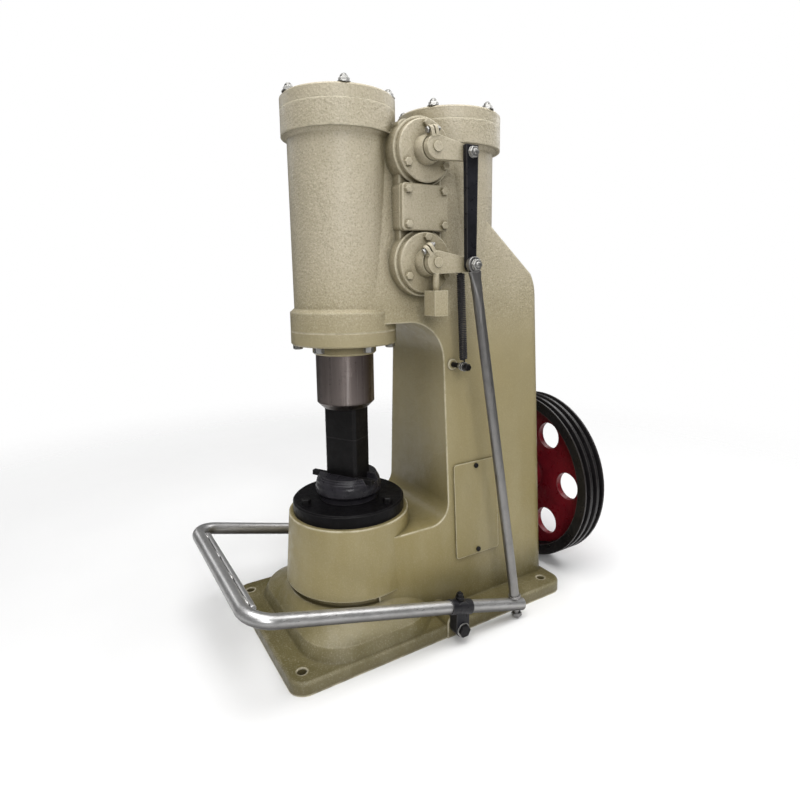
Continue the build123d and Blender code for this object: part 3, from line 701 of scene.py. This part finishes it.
def bent_path(corners, radius):
    """Straight runs through the corners, with each bend rounded to radius."""
    arc_step = 0.003
    run_step = 0.03
    points = [corners[0]]
    for before, corner, after in zip(corners, corners[1:], corners[2:]):
        back = (before - corner).normalized()
        ahead = (after - corner).normalized()
        half = back.angle(ahead) / 2
        cut = radius / math.tan(half)
        start, end = corner + back * cut, corner + ahead * cut
        centre = corner + (back + ahead).normalized() * (radius / math.sin(half))
        count = max(2, int((math.pi - 2 * half) * radius / arc_step))
        first, last = (start - centre).normalized(), (end - centre).normalized()
        for i in range(count + 1):
            points.append(centre + first.slerp(last, i / count) * radius)
    points.append(corners[-1])
    spread = [points[0]]
    for start, target in zip(points, points[1:]):
        count = max(1, int((target - start).length / run_step))
        spread += [start.lerp(target, i / count) for i in range(1, count + 1)]
    return spread


def baked(obj):
    """Mesh of obj with its modifiers worked in."""
    graph = bpy.context.evaluated_depsgraph_get()
    return bpy.data.meshes.new_from_object(obj.evaluated_get(graph))


def cut_slot(piece, centre, length, width):
    """Cuts a round-ended slot, long from front to back, straight down through the bar."""
    half_run = (length - width) / 2
    depth = 0.06
    outline = []
    for end in (1, -1):
        for i in range(13):
            angle = math.radians(-90 + 15 * i)
            spot = (half_run + width / 2 * math.cos(angle), width / 2 * math.sin(angle))
            outline.append((end * spot[0], end * spot[1]))
    turn = Matrix(((0, 1, 0, 0), (1, 0, 0, 0), (0, 0, 1, 0), (0, 0, 0, 1)))
    place = Matrix.Translation(centre - z_axis * (depth / 2)) @ turn
    verts, faces = slab(outline, depth, place)
    mesh = bpy.data.meshes.new("slot_cutter")
    mesh.from_pydata([tuple(v) for v in verts], [], faces)
    cutter = bpy.data.objects.new("slot_cutter", mesh)
    bpy.context.collection.objects.link(cutter)
    change = piece.modifiers.new("slot", "BOOLEAN")
    change.object = cutter
    change.solver = "EXACT"
    bpy.context.view_layer.update()
    piece.data = baked(piece)
    piece.modifiers.clear()
    bpy.data.objects.remove(cutter)


def bent_bar():
    """The treadle's bar: its ends are broken a little, and its right end has the rod's slot."""
    corners = [rear_end, right_clamp, right_corner, left_corner, left_clamp, left_end]
    path = bent_path(corners, bend_radius)
    radii = [bar_radius] * len(path)
    broken = ((0.0008, 0.93), (0.0016, 0.80))
    ahead = (path[0] - path[1]).normalized()
    back = (path[-1] - path[-2]).normalized()
    first, last = path[0], path[-1]
    for reach, share in broken:
        path = [first + ahead * reach] + path + [last + back * reach]
        radii = [bar_radius * share] + radii + [bar_radius * share]
    hoop = new_piece("treadle_bent_bar", *tube(path, radii, 32), "treadle", "drawn_steel", drawn)
    cut_slot(hoop, rod_foot, 0.022, 0.0142)
    hoop.data.shade_smooth()
    hoop.data.set_sharp_from_angle(angle=math.radians(35))
    set_material(hoop, drawn)
    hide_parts("treadle_hoop")


def second_bar():
    """Thinner bar inside the front run, held by four pairs of weld beads."""
    along = (left_corner - right_corner).normalized()
    legs = (right_clamp - right_corner).normalized() + (left_clamp - left_corner).normalized()
    inward = (legs - along * legs.dot(along)).normalized()
    up = along.cross(inward).normalized()
    shift = inward * (bar_radius + second_radius)
    from_corner = 0.042
    chamfer = along * 0.001
    right = right_corner + along * from_corner + shift
    left = left_corner - along * from_corner + shift
    points = [right - chamfer, *(right.lerp(left, i / 4) for i in range(5)), left + chamfer]
    sizes = [second_radius * 0.8] + [second_radius] * 5 + [second_radius * 0.8]
    bar = tube(points, sizes, 24)
    second = new_piece("treadle_second_bar", *bar, "treadle", "drawn_steel", drawn)
    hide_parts("tread_bar")

    seam = inward * (bar_radius * 0.80)
    half_bead = along * 0.013
    for index, share in enumerate((0.05, 0.35, 0.65, 0.95)):
        middle = right_corner.lerp(left_corner, 0.11 + share * 0.78) + seam
        for side, end in ((-1, "low"), (1, "top")):
            spot = middle + up * side * 0.0066
            name = "tread_weld_%d_%s" % (index, end)
            weld_bead(name, spot - half_bead, spot + half_bead, 0.0026, "treadle")


bent_bar()
second_bar()


# Pull rod: thick rod forged flat into an eye at its top


def pull_rod():
    way = (rod_top - rod_foot).normalized()
    length = (rod_top - rod_foot).length
    side = (x_axis - way * x_axis.dot(way)).normalized()
    flat = way.cross(side).normalized()
    shank = 0.0100
    shaft = [
        (0.0176, shank * 0.9, shank * 0.9),
        (0.0186, shank, shank),
        (length * 0.30, shank, shank),
        (length * 0.60, shank, shank),
        (length - 0.085, shank, shank),
        (length - 0.060, shank, shank * 0.92),
        (length - 0.040, shank * 1.06, 0.0072),
        (length - 0.026, shank * 1.15, 0.0052),
        (length - 0.012, 0.0142, 0.0049),
    ]
    steps = 32
    verts = []
    for height, across, thick in shaft:
        # Below 1 the power makes the ring squarer, where the rod is forged flat.
        power = 1.0 if thick > 0.009 else 0.62
        for i in range(steps):
            angle = 2 * math.pi * i / steps
            c, s = math.cos(angle), math.sin(angle)
            c = math.copysign(abs(c) ** power, c)
            s = math.copysign(abs(s) ** power, s)
            verts.append(rod_foot + way * height + flat * across * c + side * thick * s)
    eye = washer(0.0064, 0.0150, -0.0050, 0.0050, 0.0010, 0.0010)
    foot = frame_at(rod_foot, way)
    parts = join(
        (verts, ring_faces(len(shaft), steps)),
        lathed(frame_at(rod_top, side), eye, 40, closed=True),
        lathed(foot, washer(0.0060, 0.0128, 0.0175, 0.0225, 0.0006, 0.0006), 40),
        lathed(foot, [(0.0058, -0.0176), (0.0058, 0.0180)], 24),
        hexagon(foot, 0.018, 0.0080, -0.0255),
        thread(frame_at(rod_foot, -way), 0.0058, 0.0250, 0.0280),
    )
    rod = new_piece("pull_rod_forged", *parts, "rod", "drawn_steel", rod_steel)
    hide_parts("pull_rod")


pull_rod()


# Cover nuts: a spring washer under each


def stud_washers(node, name):
    """Spring washer under each domed nut of a cover, where the nuts' mesh says they are."""
    nut_width = 0.025
    nut_reach = 0.016
    between_nuts = 0.03
    same_nut = 0.02
    verts = [v.co for v in nodes[node].data.vertices]
    base = min(v.z for v in verts)
    spots = []
    for v in verts:
        if all((v.xy - s).length > between_nuts for s in spots):
            near = [w.xy for w in verts if (w.xy - v.xy).length < nut_width]
            spots.append(sum(near, Vector((0, 0))) / len(near))
    centres = []
    for spot in spots:
        near = [w.xy for w in verts if (w.xy - spot).length < nut_reach]
        xs = [n.x for n in near]
        ys = [n.y for n in near]
        centre = Vector(((min(xs) + max(xs)) / 2, (min(ys) + max(ys)) / 2))
        if all((centre - c).length > same_nut for c in centres):
            centres.append(centre)
    profile = washer(0.0060, 0.0126, 0.0, 0.0026, 0.0004, 0.0004)
    parts = [lathed(frame_at((c.x, c.y, base), z_axis), profile) for c in centres]
    new_piece(name, *join(*parts), "root", "plated_steel", plated)


stud_washers("working_cover_nuts", "working_cover_washers")
stud_washers("compressor_cover_nuts", "compressor_cover_washers")


# Floor, light and camera


def floor():
    """Pale floor that fades out into the white studio round it."""
    reach = 3.2
    fade_from, fade_to = 0.7, 2.3
    corners = [(-reach, -reach, 0), (reach, -reach, 0), (reach, reach, 0), (-reach, reach, 0)]
    mesh = bpy.data.meshes.new("floor")
    mesh.from_pydata(corners, [], [(0, 1, 2, 3)])
    plane = bpy.data.objects.new("floor", mesh)
    bpy.context.collection.objects.link(plane)
    t = Tree("pale_floor")
    tone = t.mix(t.ramp(t.noise(1.5, 3.0), 0.3, 0.7), grey(0.90), grey(0.93))
    far = t.radius((0.0, 0.1, 0.0), (1, 1, 0))
    t.put(t.surface.inputs["Alpha"], t.ramp(far, fade_from, fade_to, 1.0, 0.0))
    t.set(Specular_IOR_Level=0.2)
    set_material(plane, t.finish(tone, 0.7))


def area_light(name, place, size, power):
    """Square light that points at the middle of the hammer."""
    data = bpy.data.lights.new(name, "AREA")
    data.shape = "SQUARE"
    data.size = size
    data.energy = power
    lamp = bpy.data.objects.new(name, data)
    bpy.context.collection.objects.link(lamp)
    lamp.location = place
    way = Vector((0.0, 0.15, 0.5)) - Vector(place)
    lamp.rotation_euler = way.to_track_quat("-Z", "Y").to_euler()


floor()
area_light("overhead", (0.5, -0.4, 3.2), 2.4, 88)
area_light("key", (2.7, -0.95, 1.7), 1.3, 42)
area_light("left_fill", (-2.4, -1.0, 1.7), 0.9, 6)
area_light("rear_right", (0.95, 2.0, 2.9), 1.5, 26)
area_light("back_rim", (-0.6, 2.6, 2.2), 1.6, 22)

# The studio is white to the camera, and lights the hammer only a little.
world = bpy.data.worlds.new("studio")
bpy.context.scene.world = world
world.use_nodes = True
tree = world.node_tree
backdrop = tree.nodes["Background"]
backdrop.inputs["Color"].default_value = (1, 1, 1, 1)
seen = tree.nodes.new("ShaderNodeLightPath").outputs["Is Camera Ray"]
level = tree.nodes.new("ShaderNodeMapRange")
level.inputs["To Min"].default_value = 0.12
level.inputs["To Max"].default_value = 1.0
tree.links.new(seen, level.inputs["Value"])
tree.links.new(level.outputs[0], backdrop.inputs["Strength"])

# The camera stands to the right of the anvil, a little above the dies.
camera_turn = 58.46
camera_tilt = 8.75
camera_roll = 0.67
focal_pixels = 555.98
image_pixels = 800
principal_x, principal_y = 405.91, 364.83
camera = bpy.data.objects.new("camera", bpy.data.cameras.new("camera"))
bpy.context.collection.objects.link(camera)
bpy.context.scene.camera = camera
camera.data.sensor_width = 36
camera.data.lens = focal_pixels / image_pixels * 36
camera.location = (1.0012, -0.4715, 0.7001)
look = (
    Matrix.Rotation(math.radians(camera_turn), 4, "Z")
    @ Matrix.Rotation(math.radians(90 - camera_tilt), 4, "X")
    @ Matrix.Rotation(math.radians(-camera_roll), 4, "Z")
)
camera.rotation_euler = look.to_euler()
camera.data.shift_x = (image_pixels / 2 - principal_x) / image_pixels
camera.data.shift_y = (principal_y - image_pixels / 2) / image_pixels

bpy.context.scene.view_settings.view_transform = "Standard"
